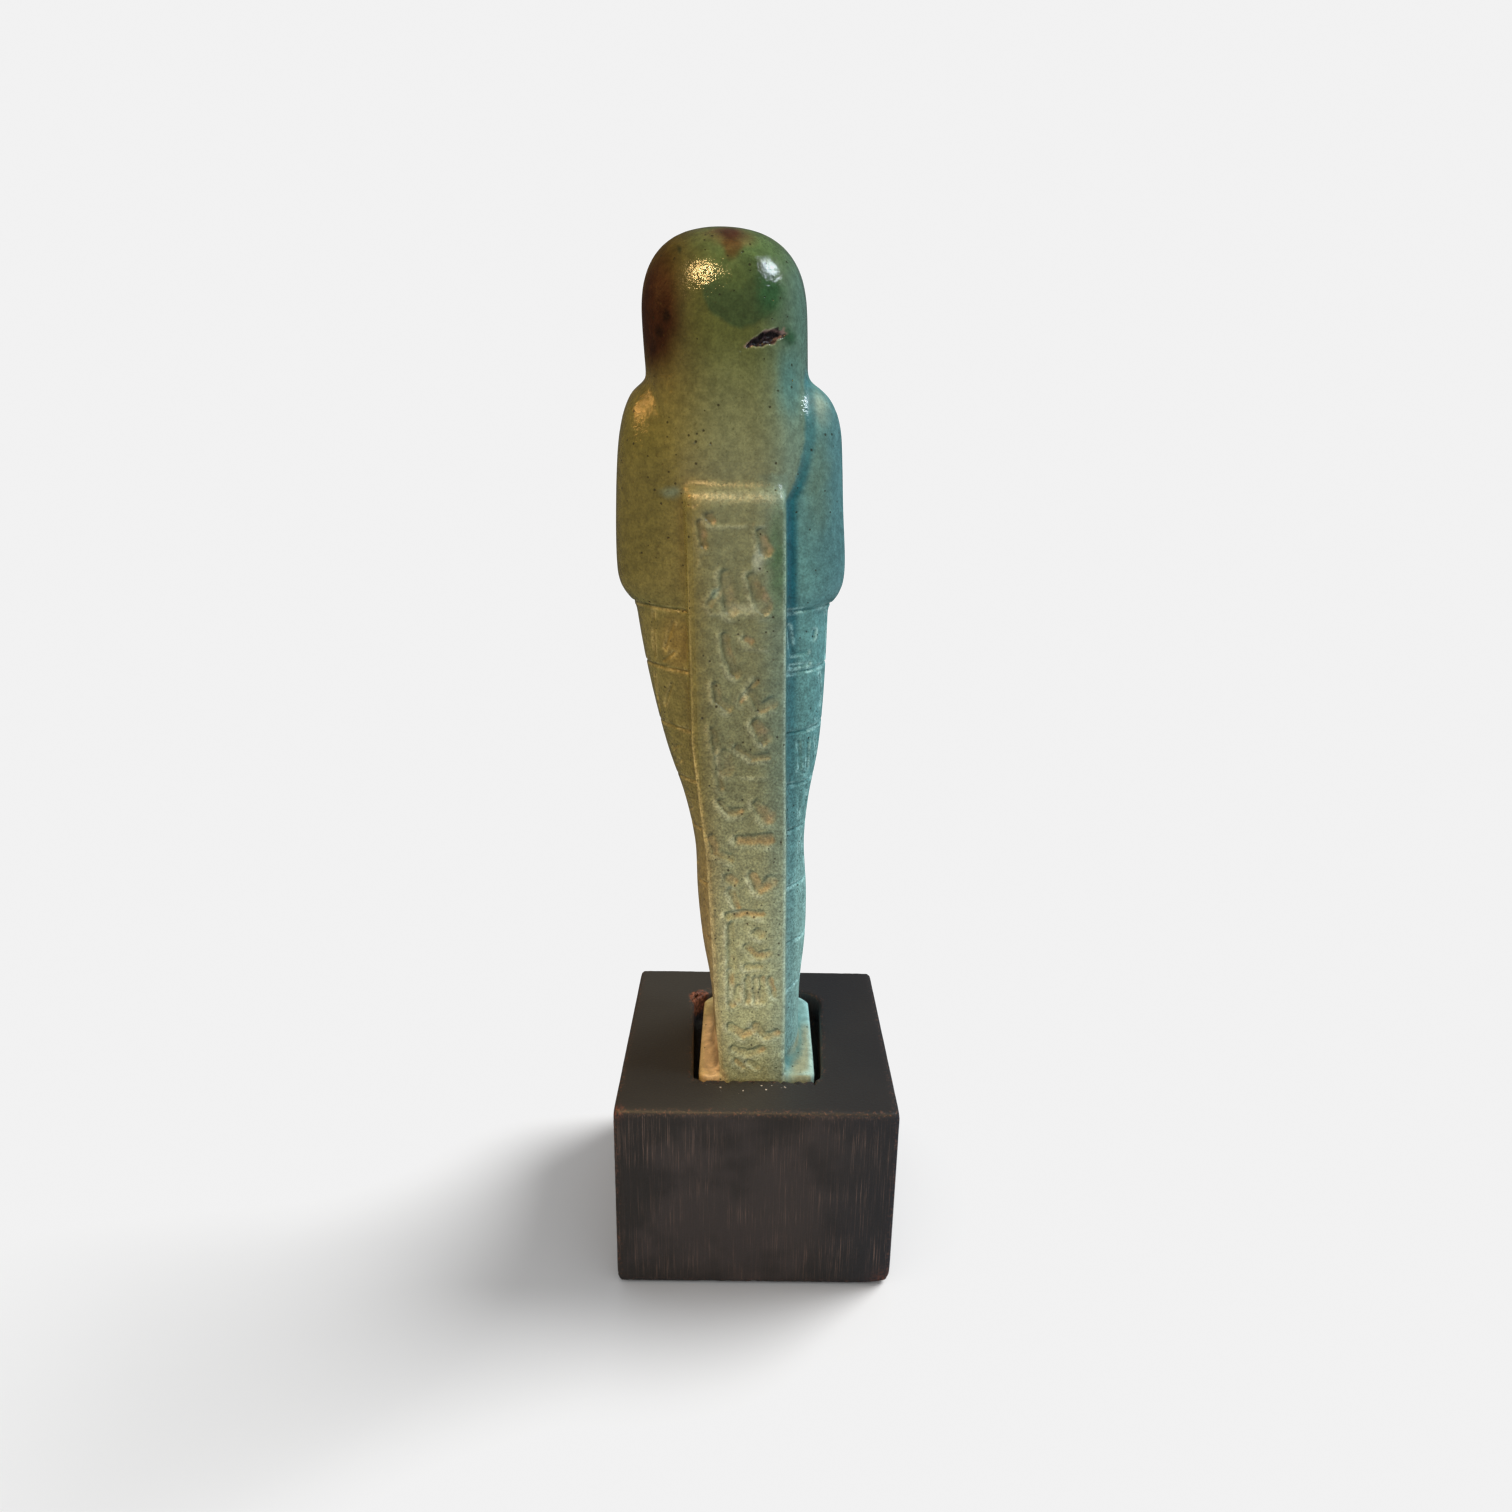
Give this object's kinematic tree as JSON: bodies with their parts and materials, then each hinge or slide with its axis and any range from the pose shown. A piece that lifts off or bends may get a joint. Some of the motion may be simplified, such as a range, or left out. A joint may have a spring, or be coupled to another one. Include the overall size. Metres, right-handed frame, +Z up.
{
  "type": "ushabti figurine",
  "caption": "Mummy-shaped faience figurine with a back pillar and rows of shallow strokes, standing by its foot plinth in a socketed dark wooden block.",
  "frame": {"origin": "middle of the wooden block's underside", "axes": "+Z up through the block and the figure, -Y the way the figure faces, +Y the way its back pillar faces, +X the figure's left"},
  "size_m": [0.06, 0.06, 0.215],
  "materials": {
    "faience": "worn glossy glaze, olive green running to turquoise, with pits, brown stains and ochre bare spots",
    "stained_wood": "black-brown stain, satin, fine upright grain scratches and worn edges"
  },
  "bodies": {
    "root": {"ushabti_figure": "faience", "wood_block": "stained_wood"}
  },
  "joints": []
}
